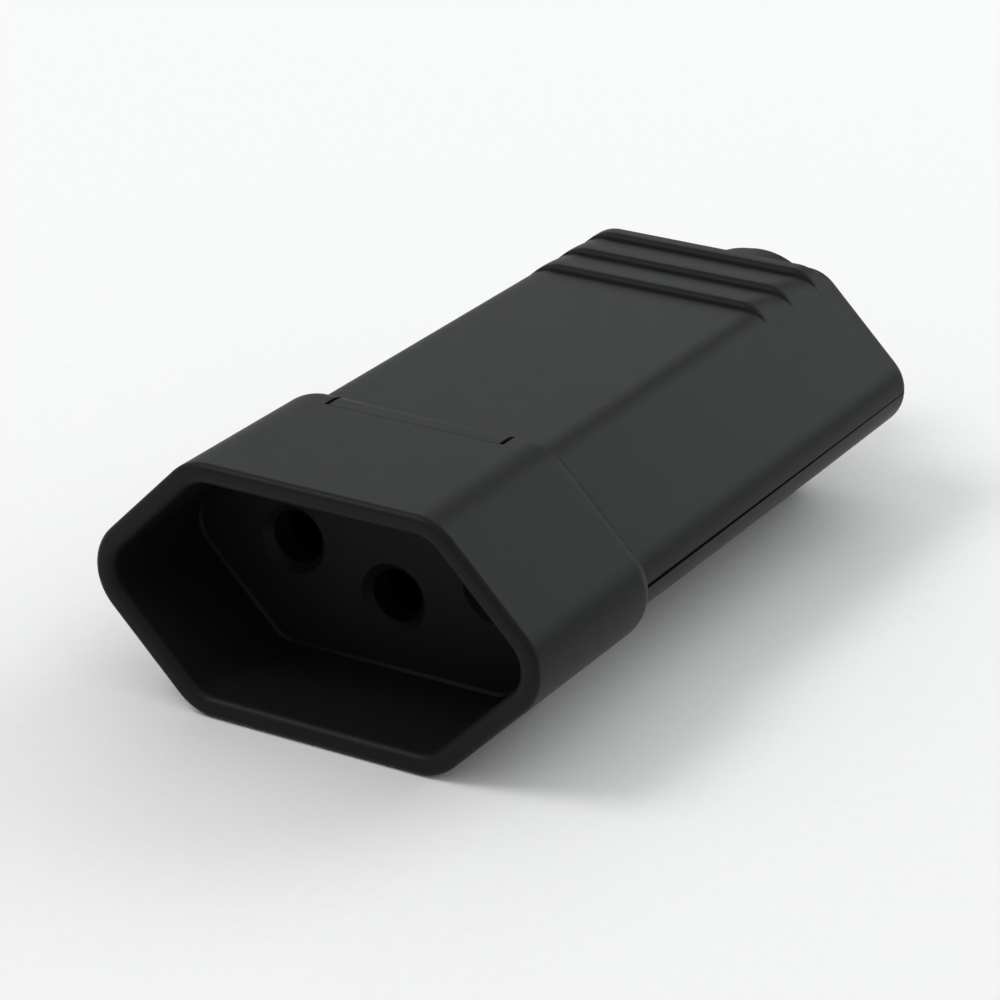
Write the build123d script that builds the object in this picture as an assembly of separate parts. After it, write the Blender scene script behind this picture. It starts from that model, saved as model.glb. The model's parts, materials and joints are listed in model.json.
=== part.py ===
from build123d import *
import math
import os

# Rewirable in-line socket for a flat six-sided plug with three round pins.
# All sizes are in millimetres. The pieces are drawn with the rim of the mouth at y = 0, the cable
# end towards +Y and the joint between the two covers at z = 0, and are moved to their place last.

# Six-sided outline, with sides at 45 degrees
shroud_height = 22.0
shroud_flat = 22.8
outline_radius = 4.7
least_radius = 0.5

# Shroud, the sleeve that forms the mouth
shroud_length = 19.0
rim_wall = 1.8
rim_rounding = 0.6
mouth_chamfer = 0.5
shroud_rear_rounding = 2.4
skirt_wall = 1.0
recess_depth = 12.2
seat_bead = 0.25
skirt_gap = 0.1

# Covers, two halves that close around the wiring
cover_end = 67.5
cover_wall = 1.8
cover_rear_wall = 2.2
cover_rear_rounding = 1.5
seam_depth = 0.9
seam_gap_front = 0.4
seam_gap_rear = 0.1
lip_thickness = 0.8
lip_height = 1.1
lip_gap = 0.1
stop_rib_height = 2.0
stop_rib_width = 1.4
stop_gap = 0.1

# Locking tongues of the covers, in notches of the shroud
tongue_width = 15.9
tongue_front = 15.4
tongue_gap = 0.3
tongue_joint = 0.05

# Grip ridges at the cable end. Their shape is in steps behind the start and shares of the height.
ridge_start = 53.95
ridge_pitch = 4.85
ridge_count = 3
ridge_height = 0.6
ridge_shape = [(0, 0), (0.7, 0.85), (1.1, 1), (1.7, 0.93)]

# Neck that the cable goes in through
neck_root_radius = 7.7
neck_end_radius = 7.25
neck_length = 7.2
neck_lip_radius = 6.75
neck_lip_length = 2.0
neck_lip_chamfer = 0.5
cable_hole_radius = 4.3

# Pins of the plug
pin_pitch = 9.5
earth_drop = 3.0
pin_radius = 2.0
pin_reach = 19.0

# Contact block
plate_thickness = 2.2
chamber_wall_front = 0.8
pin_hole_radius = 2.3
countersink_radius = 3.0
countersink_depth = 0.7
chamber_half = 3.6
chamber_wall = 0.8
web_thickness = 1.6
block_gap = 0.4
housing_top = 3.9
housing_floor = 0.8
pocket_gap = 0.2
retainer_thickness = 1.6
wire_hole_radius = 1.9
key_width = 1.4
key_height = 3.0
key_length = 2.6
key_gap = 0.05

# Contacts
contact_fit = 0.05
contact_wall = 0.8
slit_width = 0.6
slit_length = 9.5
terminal_width = 6.4
terminal_height = 6.6
terminal_length = 7.4
terminal_chamfer = 0.4
wire_bore_radius = 1.7
wire_bore_length = 5.8
spring_wall = 0.5
spring_length = 4.0
spring_start = 3.0
spring_slot = 1.4
spring_fit = 0.05

# Screws and nuts
terminal_thread_radius = 1.5
terminal_head_radius = 2.4
terminal_head_height = 1.7
cover_thread_radius = 1.5
cover_head_radius = 2.7
cover_head_height = 1.9
cover_head_depth = 3.4
clamp_thread_radius = 1.4
clamp_head_radius = 2.4
clamp_head_height = 1.7
clamp_screw_length = 7.0
nut_width = 5.5
nut_thickness = 2.4
thread_gap = 0.1
head_gap = 0.2
screw_slot_depth = 1.0
screw_slot_width = 0.9

# Screw bosses of the covers and the cord clamp
cover_screw_x = 6.6
cover_screw_y = 47.6
boss_wall = 1.0
clamp_y = 57.2
clamp_screw_x = 8.0
clamp_width = 6.4
clamp_thickness = 2.4
clamp_post_half = 2.6
clamp_post_top = 2.0
clamp_arch_wall = 1.6
clamp_rib_height = 0.6
clamp_rib_width = 1.6
saddle_width = 11.0
saddle_top = -2.4

# Sizes that follow from the ones above
half_height = shroud_height / 2
half_side = (shroud_height + shroud_flat) / 2
cover_step = skirt_wall + skirt_gap
cover_half_height = half_height - cover_step
cover_front = recess_depth + plate_thickness
inner_inset = cover_step + cover_wall
inner_half_height = half_height - inner_inset
block_inset = inner_inset + block_gap
plate_inset = skirt_wall + skirt_gap
chamber_front = cover_front + chamber_wall_front
housing_front = recess_depth + pin_reach
pocket_front = housing_front + housing_floor
pocket_length = terminal_length + pocket_gap
housing_end = pocket_front + pocket_length
retainer_end = housing_end + retainer_thickness
contact_front = chamber_front + pocket_gap
contact_bore = pin_radius + contact_fit
contact_radius = contact_bore + contact_wall
terminal_front = pocket_front + pocket_gap / 2
shroud_back = shroud_length - shroud_rear_rounding + math.sqrt(
    max(shroud_rear_rounding**2 - (shroud_rear_rounding - cover_step) ** 2, 0)
)
overall_length = cover_end + neck_length + neck_lip_length
pin_places = {"line": (-pin_pitch, 0), "earth": (0, -earth_drop), "neutral": (pin_pitch, 0)}
sides = {"left": -1, "right": 1}

# How far a cut runs past the surface that it starts from
past = 1.0


def six_sided(height, side):
    """Cross-section with a flat top and bottom and sides at 45 degrees."""
    flat = side - height
    corners = [(flat, height), (side, 0), (flat, -height), (-flat, -height), (-side, 0), (-flat, height)]
    return make_face(Polyline(*corners, close=True))


def rounded(face, radius):
    """Round all corners of a cross-section."""
    return fillet(face.vertices(), max(radius, least_radius))


def outline(inset):
    """The housing's cross-section, drawn a wall's thickness inside the shroud's outside."""
    return rounded(inner_outline(inset), outline_radius - inset)


def inner_outline(inset):
    """The same cross-section with plain corners, for what lies inside the covers."""
    return six_sided(half_height - inset, half_side - inset * math.sqrt(2))


def along(profile, start, end):
    """Run a cross-section from one distance behind the rim to another."""
    plane = Plane(origin=(0, start, 0), x_dir=(1, 0, 0), z_dir=(0, -1, 0))
    return extrude(plane * profile, -(end - start))


def narrowing(profile, start, depth):
    """Run a cross-section on by a depth while all its sides close in at 45 degrees."""
    plane = Plane(origin=(0, start, 0), x_dir=(-1, 0, 0), z_dir=(0, 1, 0))
    return extrude(plane * profile, depth, taper=45)


def rod(radius, start, end, x=0, z=0):
    """Round bar along the length of the socket."""
    return along(Pos(x, z) * Circle(radius), start, end)


def post(radius, low, high, x=0, y=0):
    """Upright round bar."""
    return Pos(x, y, (low + high) / 2) * Cylinder(radius, high - low)


def block(x0, x1, y0, y1, z0, z1):
    """Box between two corners."""
    return Pos((x0 + x1) / 2, (y0 + y1) / 2, (z0 + z1) / 2) * Box(x1 - x0, y1 - y0, z1 - z0)


def across(points, width):
    """Run a side-view shape of (y, z) points across the socket, centred on its middle."""
    face = Plane.YZ * make_face(Polyline(*points, close=True))
    return extrude(face, width / 2, both=True)


def turned(points):
    """Turn a half-profile of (radius, y) points about the length of the socket."""
    return revolve(make_face(Polyline(*points, close=True)), Axis.Y)


# Shroud


def make_shroud_outside():
    """Outside of the shroud with its large rounding at the rear, as a solid."""
    body = along(outline(0), 0, shroud_length)
    return fillet(body.edges().group_by(Axis.Y)[-1], shroud_rear_rounding)


def make_shroud():
    """Six-sided sleeve: a deep mouth in front, a thin skirt over the covers behind."""
    body = make_shroud_outside()
    body = fillet(body.edges().group_by(Axis.Y)[0], rim_rounding)
    body -= along(outline(rim_wall), -past, recess_depth - seat_bead)
    rim = body.faces().sort_by(Axis.Y)[0]
    body = chamfer(rim.inner_wires()[0].edges(), mouth_chamfer)
    body -= narrowing(outline(rim_wall), recess_depth - seat_bead, seat_bead)
    body -= along(outline(skirt_wall), recess_depth, shroud_length + past)
    half_notch = tongue_width / 2 + tongue_gap
    notch_front = tongue_front - tongue_joint
    for low, high in ((0, half_height + past), (-half_height - past, 0)):
        body -= block(-half_notch, half_notch, notch_front, shroud_length + past, low, high)
    return body


# Covers


def raised_section(rise, distance):
    """The covers' cross-section with its flats raised and its sides kept, behind the rim."""
    section = six_sided(cover_half_height + rise, half_side - cover_step * math.sqrt(2))
    plane = Plane(origin=(0, distance, 0), x_dir=(1, 0, 0), z_dir=(0, -1, 0))
    return plane * rounded(section, outline_radius - cover_step)


def make_ridges():
    """Saw-tooth grips: a steep front and a long slope back to the surface, lost in the side corners."""
    ridges = []
    for index in range(ridge_count):
        start = ridge_start + index * ridge_pitch
        end = min(start + ridge_pitch, cover_end - cover_rear_rounding)
        sections = [raised_section(share * ridge_height, start + step) for step, share in ridge_shape]
        sections.append(raised_section(0, end))
        ridges.append(loft(sections, ruled=True))
    return ridges


def make_tongue():
    """Pad that fills the shroud's notch, flush with the shroud and rounded at the rear as it is."""
    base = cover_half_height - cover_wall / 2
    half = tongue_width / 2
    return block(-half, half, tongue_front, shroud_back, base, half_height) & make_shroud_outside()


def make_neck():
    """Round neck around the cable, with a smaller lip at its end."""
    root = cover_end - cover_rear_wall / 2
    lip = cover_end + neck_length
    neck = turned(
        [
            (0, root),
            (neck_root_radius, root),
            (neck_end_radius, lip),
            (neck_lip_radius, lip),
            (neck_lip_radius, overall_length),
            (0, overall_length),
        ]
    )
    return chamfer(neck.edges().group_by(Axis.Y)[-1], neck_lip_chamfer)


def make_stop_rib():
    """Ledge around the inside, that keeps the contact retainer from moving back."""
    start = retainer_end + stop_gap
    end = start + stop_rib_width
    return along(inner_outline(inner_inset - cover_wall / 2), start, end) - along(
        inner_outline(inner_inset + stop_rib_height), start, end
    )


def make_closed_shell():
    """Both covers as one hollow body, before it is parted."""
    shell = along(outline(cover_step), cover_front, cover_end)
    shell = fillet(shell.edges().group_by(Axis.Y)[-1], cover_rear_rounding)
    tongue = make_tongue()
    shell += tongue
    shell += mirror(tongue, Plane.XY)
    for ridge in make_ridges():
        shell += ridge
    shell += make_neck()
    shell -= along(inner_outline(inner_inset), cover_front - past, cover_end - cover_rear_wall)
    shell += inside_cover(make_stop_rib())
    return shell - rod(cable_hole_radius, cover_end - cover_rear_wall - past, overall_length + past)


def square_post(half, low, high, x, y):
    """Upright square bar."""
    return block(x - half, x + half, y - half, y + half, low, high)


def inside_cover(shape):
    """Keep what lies within the covers' outside, so that bosses never break through."""
    return shape & along(outline(cover_step + cover_wall / 2), cover_front, cover_end - cover_rear_rounding)


def lip_blocks(gap):
    """Strips inside both side walls, that overlap the joint between the covers."""
    outer = half_side - inner_inset * math.sqrt(2) - lip_height / 2 + gap
    strips = []
    for side in sides.values():
        x0, x1 = sorted((side * outer, side * (outer - lip_thickness - 2 * gap)))
        start = retainer_end - gap
        end = cover_end - cover_rear_wall - lip_thickness + gap
        strips.append(block(x0, x1, start, end, -lip_height - gap, lip_height))
    return strips


def make_upper_cover(shell):
    """Half with the nut bosses and the lips that go down inside the other half."""
    cover = shell & block(-half_side, half_side, 0, overall_length + past, 0, half_height + past)
    nut_radius = nut_width / math.sqrt(3)
    for side in sides.values():
        x = side * cover_screw_x
        cover += inside_cover(square_post(nut_radius + boss_wall, 0, half_height, x, cover_screw_y))
        pocket = extrude(RegularPolygon(nut_radius + thread_gap, 6), nut_thickness + thread_gap)
        cover -= Pos(x, cover_screw_y, 0) * pocket
        hole_top = inner_half_height - boss_wall
        cover -= post(cover_thread_radius + thread_gap, 0, hole_top, x, cover_screw_y)
    for strip in lip_blocks(0):
        cover += strip
    return cover


def make_saddle():
    """Hollowed ledge that the cable lies on below the clamp."""
    half = saddle_width / 2
    ledge = block(-half, half, clamp_y - clamp_width / 2, clamp_y + clamp_width / 2, -half_height, saddle_top)
    return ledge - rod(cable_hole_radius, clamp_y - clamp_width, clamp_y + clamp_width)


def make_seam_gap():
    """Thin wedge along both sides, where the joint stands open near the shroud."""
    wedge = across(
        [(cover_front, 0), (cover_end, 0), (cover_end, -seam_gap_rear), (cover_front, -seam_gap_front)],
        2 * half_side,
    )
    inner = along(outline(cover_step + seam_depth), cover_front - past, cover_end - seam_depth)
    return wedge - inner


def make_lower_cover(shell):
    """Half with the screw bosses, the clamp posts and the saddle."""
    cover = shell & block(-half_side, half_side, 0, overall_length + past, -half_height - past, 0)
    for side in sides.values():
        x = side * cover_screw_x
        sink = cover_head_radius + head_gap
        cover += inside_cover(square_post(sink + boss_wall, -half_height, 0, x, cover_screw_y))
        cover -= post(sink, -half_height, -cover_half_height + cover_head_depth, x, cover_screw_y)
        cover -= post(cover_thread_radius + thread_gap, -half_height, past, x, cover_screw_y)
        x = side * clamp_screw_x
        cover += inside_cover(square_post(clamp_post_half, -half_height, clamp_post_top, x, clamp_y))
        cover -= post(clamp_thread_radius, clamp_post_top - clamp_screw_length, clamp_post_top, x, clamp_y)
    cover += inside_cover(make_saddle())
    for strip in lip_blocks(lip_gap):
        cover -= strip
    return cover - make_seam_gap()


# Contact block


def make_towers():
    """Three square towers side by side, tied by a web, that the chambers are sunk in."""
    low, high = -earth_drop / 2 - web_thickness / 2, -earth_drop / 2 + web_thickness / 2
    towers = block(-pin_pitch, pin_pitch, cover_front, housing_front, low, high)
    half = chamber_half + chamber_wall
    for x, z in pin_places.values():
        towers += block(x - half, x + half, cover_front, housing_front, z - half, z + half)
    return towers


def make_housing_slice(start, end):
    """Part of the terminal housing: the covers' inside shape with its top cut level."""
    return along(inner_outline(block_inset), start, end) & block(
        -half_side, half_side, start, end, -half_height, housing_top
    )


def make_keys(gap):
    """Flat locating keys in the two walls between the terminals."""
    half_width = key_width / 2 + gap
    half_tall = key_height / 2 + gap
    front = housing_end - key_length - gap
    return [
        block(x - half_width, x + half_width, front, housing_end, -half_tall, half_tall)
        for x in (-pin_pitch / 2, pin_pitch / 2)
    ]


def make_contact_block():
    """Socket face with three sunk holes, the chambers behind it and the terminal housing."""
    part = along(outline(plate_inset), recess_depth, cover_front)
    part += make_towers() & along(inner_outline(block_inset), cover_front, housing_front)
    part += make_housing_slice(housing_front, housing_end)
    half_pocket = terminal_width / 2 + pocket_gap
    for x, z in pin_places.values():
        part -= rod(pin_hole_radius, recess_depth - past, chamber_front, x, z)
        part -= Pos(x, 0, z) * turned(
            [
                (0, recess_depth),
                (countersink_radius, recess_depth),
                (pin_hole_radius, recess_depth + countersink_depth),
                (0, recess_depth + countersink_depth),
            ]
        )
        x0, x1 = x - chamber_half, x + chamber_half
        part -= block(x0, x1, chamber_front, pocket_front, z - chamber_half, z + chamber_half)
        floor = z - terminal_height / 2 - pocket_gap
        part -= block(x - half_pocket, x + half_pocket, pocket_front, housing_end, floor, half_height)
    for key in make_keys(key_gap):
        part -= key
    return part


def make_contact_retainer():
    """Plate behind the terminals with a hole for each wire and two locating keys."""
    part = make_housing_slice(housing_end, retainer_end)
    for x, z in pin_places.values():
        part -= rod(wire_hole_radius, housing_end, retainer_end, x, z)
    for key in make_keys(0):
        part += key
    return part


# Contacts


def make_contact(x, z):
    """Slit brass sleeve in one piece with the block that the wire is screwed into."""
    rear = terminal_front + terminal_length
    sleeve = rod(contact_radius, contact_front, terminal_front)
    sleeve -= rod(contact_bore, contact_front, recess_depth + pin_reach + pocket_gap)
    half_slit = slit_width / 2
    for half_x, half_z in ((contact_radius, half_slit), (half_slit, contact_radius)):
        sleeve -= block(-half_x, half_x, contact_front, contact_front + slit_length, -half_z, half_z)
    half_width = terminal_width / 2
    half_tall = terminal_height / 2
    terminal = block(-half_width, half_width, terminal_front, rear, -half_tall, half_tall)
    terminal = chamfer(terminal.edges().filter_by(Axis.Y), terminal_chamfer)
    part = sleeve + terminal
    part -= rod(wire_bore_radius, rear - wire_bore_length, rear)
    part -= post(terminal_thread_radius, 0, terminal_height, 0, terminal_screw_y())
    return Pos(x, 0, z) * part


def terminal_screw_y():
    """Middle of the terminal block along the socket."""
    return terminal_front + terminal_length / 2


def make_contact_spring(x, z):
    """Spring steel clip around the sleeve, open on one side."""
    start = contact_front + spring_start
    inner = contact_radius + spring_fit
    part = rod(inner + spring_wall, start, start + spring_length) - rod(inner, start, start + spring_length)
    half = spring_slot / 2
    part -= block(-half, half, start, start + spring_length, 0, inner + spring_wall)
    return Pos(x, 0, z) * part


# Screws and nuts


def make_screw(radius, shank, head_radius, head_height):
    """Slotted cheese-head screw that stands head up, with the underside of its head at z = 0."""
    part = post(head_radius, 0, head_height) + post(radius, -shank, 0)
    half = screw_slot_width / 2
    return part - block(
        -head_radius, head_radius, -half, half, head_height - screw_slot_depth, head_height
    )


def make_terminal_screw(x, z):
    """Screw that presses the wire in its bore."""
    top = terminal_height / 2
    screw = make_screw(
        terminal_thread_radius - thread_gap, top, terminal_head_radius, terminal_head_height
    )
    return Pos(x, terminal_screw_y(), z + top) * screw


def make_cover_screw(side):
    """Screw that comes in from below and holds the covers together."""
    seat = -cover_half_height + cover_head_depth
    length = nut_thickness - seat + past
    screw = make_screw(cover_thread_radius, length, cover_head_radius, cover_head_height)
    return Pos(side * cover_screw_x, cover_screw_y, seat) * Rot(180, 0, 0) * screw


def make_cover_nut(side):
    """Hexagon nut held in its pocket of the upper cover."""
    nut = extrude(RegularPolygon(nut_width / math.sqrt(3), 6), nut_thickness)
    nut -= post(cover_thread_radius, 0, nut_thickness)
    return Pos(side * cover_screw_x, cover_screw_y, 0) * nut


# Cord clamp


def make_cord_clamp():
    """Arched bar over the cable, with a rib that bites into the sheath."""
    half = clamp_width / 2
    low, high = clamp_post_top, clamp_post_top + clamp_thickness
    reach = clamp_screw_x + clamp_post_half
    bar = block(-reach, reach, clamp_y - half, clamp_y + half, low, high)
    arch = rod(cable_hole_radius + clamp_arch_wall, clamp_y - half, clamp_y + half)
    bar += arch & block(-reach, reach, clamp_y - half, clamp_y + half, low, half_height)
    hollow = rod(cable_hole_radius, clamp_y - half, clamp_y + half)
    rib = rod(cable_hole_radius - clamp_rib_height, clamp_y - half, clamp_y + half)
    half_rib = clamp_rib_width / 2
    bar -= hollow - block(-reach, reach, clamp_y - half_rib, clamp_y + half_rib, low, half_height)
    bar -= rib
    for side in sides.values():
        bar -= post(clamp_thread_radius + thread_gap, low, high, side * clamp_screw_x, clamp_y)
    return bar


def make_cord_clamp_screw(side):
    """Screw that draws one end of the clamp down on its post."""
    top = clamp_post_top + clamp_thickness
    shank = clamp_thickness + clamp_screw_length - thread_gap
    screw = make_screw(clamp_thread_radius, shank, clamp_head_radius, clamp_head_height)
    return Pos(side * clamp_screw_x, clamp_y, top) * screw


# All pieces by name


def make_pieces():
    shell = make_closed_shell()
    pieces = {
        "shroud": make_shroud(),
        "upper_cover": make_upper_cover(shell),
        "lower_cover": make_lower_cover(shell),
        "contact_block": make_contact_block(),
        "contact_retainer": make_contact_retainer(),
        "cord_clamp": make_cord_clamp(),
    }
    for name, place in pin_places.items():
        pieces[f"{name}_contact"] = make_contact(*place)
        pieces[f"{name}_contact_spring"] = make_contact_spring(*place)
        pieces[f"{name}_terminal_screw"] = make_terminal_screw(*place)
    for name, side in sides.items():
        pieces[f"cover_screw_{name}"] = make_cover_screw(side)
        pieces[f"cover_nut_{name}"] = make_cover_nut(side)
        pieces[f"cord_clamp_screw_{name}"] = make_cord_clamp_screw(side)
    return pieces


# The origin is on the surface that the socket lies on, below the middle of its length
place = Pos(0, -overall_length / 2, half_height)
os.makedirs("parts", exist_ok=True)
for name, piece in make_pieces().items():
    export_step(place * piece, f"parts/{name}.step")
    print(f"{name}: {piece.volume:.1f} mm3, {len(piece.solids())} solid")
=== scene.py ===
# %% [markdown]
# # An in-line socket in black moulded plastic
#
# The part is a cable socket with a flat six-sided outline. A short sleeve, the shroud, forms its mouth,
# and two covers close around the wiring behind it. Almost all of what shows is one kind of black
# plastic, so its looks rest on three things: soft roundings that catch the light, narrow dark joints
# between the mouldings, and the fine grain that the steel of the mould leaves on the surface.
#
# The solids come with their real sizes and places. This script keeps them where they are, gives their
# surfaces smooth light, builds again what a solid can't show, and sets up the light and the camera.

# %% Load the solids
import json
import math

import bmesh
import bpy
from mathutils import Matrix, Vector


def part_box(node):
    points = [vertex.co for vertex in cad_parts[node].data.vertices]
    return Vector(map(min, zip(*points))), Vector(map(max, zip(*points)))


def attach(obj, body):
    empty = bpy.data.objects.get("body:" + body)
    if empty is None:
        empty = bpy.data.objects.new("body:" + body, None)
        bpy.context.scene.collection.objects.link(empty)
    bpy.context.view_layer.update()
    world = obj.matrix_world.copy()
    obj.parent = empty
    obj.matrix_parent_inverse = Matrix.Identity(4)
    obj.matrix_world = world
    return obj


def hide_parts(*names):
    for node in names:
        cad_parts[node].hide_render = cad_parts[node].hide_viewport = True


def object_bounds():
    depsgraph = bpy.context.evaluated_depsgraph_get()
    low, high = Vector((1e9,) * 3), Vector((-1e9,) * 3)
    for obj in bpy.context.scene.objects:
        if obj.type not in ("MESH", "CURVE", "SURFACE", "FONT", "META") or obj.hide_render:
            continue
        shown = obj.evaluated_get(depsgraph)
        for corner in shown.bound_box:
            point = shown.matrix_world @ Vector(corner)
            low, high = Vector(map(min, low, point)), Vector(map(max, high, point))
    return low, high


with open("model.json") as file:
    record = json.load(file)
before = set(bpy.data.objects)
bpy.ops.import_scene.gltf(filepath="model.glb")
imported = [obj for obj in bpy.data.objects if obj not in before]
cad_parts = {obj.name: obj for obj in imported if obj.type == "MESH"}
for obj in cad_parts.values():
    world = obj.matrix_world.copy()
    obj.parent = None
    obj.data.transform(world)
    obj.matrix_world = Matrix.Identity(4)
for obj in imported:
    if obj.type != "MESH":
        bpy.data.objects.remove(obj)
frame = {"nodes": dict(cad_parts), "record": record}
cad_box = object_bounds()
mm = 0.001
print("solids:", len(frame["nodes"]))
print("box in mm:", [[round(v / mm, 2) for v in corner] for corner in cad_box])

# %% [markdown]
# ## Small helpers for node trees
#
# Materials and Geometry Nodes are both trees of nodes. A tree is easier to read when a node, its
# options and what feeds it stand together in one line, so these helpers add nodes that way. It could
# all be done by hand in the editor, but then the sizes would be lost in the file.

# %% Node helpers
def feed(tree, node, inputs):
    """Give a node's named or numbered inputs a value or a link."""
    for name, value in inputs.items():
        if isinstance(value, bpy.types.NodeSocket):
            tree.links.new(value, node.inputs[name])
        else:
            node.inputs[name].default_value = value


def put(tree, kind, inputs=None, **options):
    """Add a node, set its options and feed its inputs."""
    node = tree.nodes.new(kind)
    for name, value in options.items():
        setattr(node, name, value)
    feed(tree, node, inputs or {})
    return node


def calculate(tree, operation, first, second=0.0, third=0.0):
    """One step of arithmetic. It returns the result's socket."""
    inputs = {0: first, 1: second}
    if operation == "MULTIPLY_ADD":
        inputs[2] = third
    return put(tree, "ShaderNodeMath", inputs, operation=operation).outputs[0]


def vector(tree, x=0.0, y=0.0, z=0.0):
    """Three numbers or sockets as one vector."""
    return put(tree, "ShaderNodeCombineXYZ", {0: x, 1: y, 2: z}).outputs[0]


def parts_of(tree, socket):
    """The three parts of a vector, as outputs 0, 1 and 2."""
    return put(tree, "ShaderNodeSeparateXYZ", {0: socket}).outputs


def noise(tree, place, scale, detail, roughness=0.5):
    """Cloudy pattern with values from 0 to 1."""
    inputs = {"Vector": place, "Scale": scale, "Detail": detail, "Roughness": roughness}
    return put(tree, "ShaderNodeTexNoise", inputs).outputs["Fac"]


def blend(tree, share, first, second):
    """Mix of two colours."""
    return put(tree, "ShaderNodeMix", {0: share, 6: first, 7: second}, data_type="RGBA").outputs[2]


def choose(tree, share, first, second):
    """The first number where the share is 0, and the second where it is 1."""
    return put(tree, "ShaderNodeMix", {0: share, 2: first, 3: second}).outputs[0]


def declare(tree, in_out, sockets):
    """Give a tree its named inputs or outputs, from a list of (name, kind, default)."""
    for name, kind, default in sockets:
        socket = tree.interface.new_socket(name, in_out=in_out, socket_type="NodeSocket" + kind)
        if default is not None:
            socket.default_value = default


# %% [markdown]
# ## Grain of moulded plastic
#
# The cavity of the mould is spark-eroded, so each moulding comes out with a fine matte grain, about an
# eighth of a millimetre across. Dust and rubbing add a few pale specks. A picture of such a surface
# could be wrapped round each piece, but it would stretch over the roundings. Noise in object
# coordinates has the same size everywhere and needs no unwrapping. All plastics share it, so it is a
# node group with inputs for the grain's size and for how much of each effect shows.

# %% Shared grain group
def make_grain_group():
    """Height, roughness and shade of a spark-eroded moulding, over object coordinates."""
    tree = bpy.data.node_groups.new("moulded_grain", "ShaderNodeTree")
    declare(tree, "INPUT", [
        ("Grain Size", "Float", 0.13 * mm),
        ("Mottle Size", "Float", 3 * mm),
        ("Roughness", "Float", 0.5),
        ("Roughness Spread", "Float", 0.06),
        ("Mottle", "Float", 0.08),
        ("Speck Share", "Float", 0.02),
    ])
    declare(tree, "OUTPUT", [(name, "Float", None) for name in ("Height", "Roughness", "Shade")])
    given = tree.nodes.new("NodeGroupInput").outputs
    place = put(tree, "ShaderNodeTexCoord").outputs["Object"]
    fine = noise(tree, place, calculate(tree, "DIVIDE", 1.0, given["Grain Size"]), 2.0, roughness=0.6)
    broad = noise(tree, place, calculate(tree, "DIVIDE", 1.0, given["Mottle Size"]), 3.0)
    cell_share, speck_reach, speck_lift = 0.22, 0.16, 1.2
    cells = put(tree, "ShaderNodeTexVoronoi", {
        "Vector": place,
        "Scale": calculate(tree, "DIVIDE", cell_share, given["Grain Size"]),
    })
    lucky = put(tree, "ShaderNodeSeparateColor", {"Color": cells.outputs["Color"]}).outputs[0]
    chosen = calculate(tree, "LESS_THAN", lucky, given["Speck Share"])
    near = calculate(tree, "LESS_THAN", cells.outputs["Distance"], speck_reach)
    speck = calculate(tree, "MULTIPLY", chosen, near)
    centred = calculate(tree, "SUBTRACT", broad, 0.5)
    shade = calculate(tree, "MULTIPLY_ADD", centred, given["Mottle"], 1.0)
    shade = calculate(tree, "MULTIPLY_ADD", speck, speck_lift, shade)
    fine_centred = calculate(tree, "SUBTRACT", fine, 0.5)
    roughness = calculate(tree, "MULTIPLY_ADD", centred, given["Roughness Spread"], given["Roughness"])
    roughness = calculate(tree, "MULTIPLY_ADD", fine_centred, given["Roughness Spread"], roughness)
    put(tree, "NodeGroupOutput", {"Height": fine, "Roughness": roughness, "Shade": shade})
    return tree


grain_group = make_grain_group()
print("grain group inputs:", [s.name for s in grain_group.interface.items_tree if s.in_out == "INPUT"])

# %% [markdown]
# ## Plastic finishes
#
# One function turns the group into a finish. The colour, the grain and the gloss are what tells the
# mouldings apart: the housing is black and softly matt, the socket face is the same black with a finer
# grain, and the hidden pieces that hold the contacts and the cable are plain off-white mouldings.

# %% Plastic materials
def new_material(name):
    """Material with its tree and its main shader."""
    material = bpy.data.materials.new(name)
    material.use_nodes = True
    return material, material.node_tree, material.node_tree.nodes["Principled BSDF"]


def make_plastic(name, colour, roughness, grain_size=0.13 * mm, specks=0.0, shine=0.1):
    """Moulded plastic of one colour, with the shared grain."""
    material, tree, shader = new_material(name)
    inputs = {"Grain Size": grain_size, "Roughness": roughness, "Speck Share": specks}
    grain = put(tree, "ShaderNodeGroup", inputs, node_tree=grain_group).outputs
    tinted = put(tree, "ShaderNodeVectorMath", {0: colour, "Scale": grain["Shade"]}, operation="SCALE")
    relief = put(tree, "ShaderNodeBump", {
        "Strength": 0.25, "Distance": grain_size / 4, "Height": grain["Height"],
    })
    feed(tree, shader, {
        "Base Color": tinted.outputs[0],
        "Roughness": grain["Roughness"],
        "Normal": relief.outputs[0],
        "IOR": 1.5,
        "Specular IOR Level": shine,
    })
    return material


black = (0.0098, 0.0104, 0.0106)
materials = {
    "housing_plastic": make_plastic("housing_plastic", black, 0.44, specks=0.035),
    "socket_face_plastic": make_plastic("socket_face_plastic", black, 0.45, grain_size=0.1 * mm),
    "inner_plastic": make_plastic("inner_plastic", (0.62, 0.6, 0.55), 0.45, shine=0.4),
}
print("plastics:", list(materials))
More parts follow.
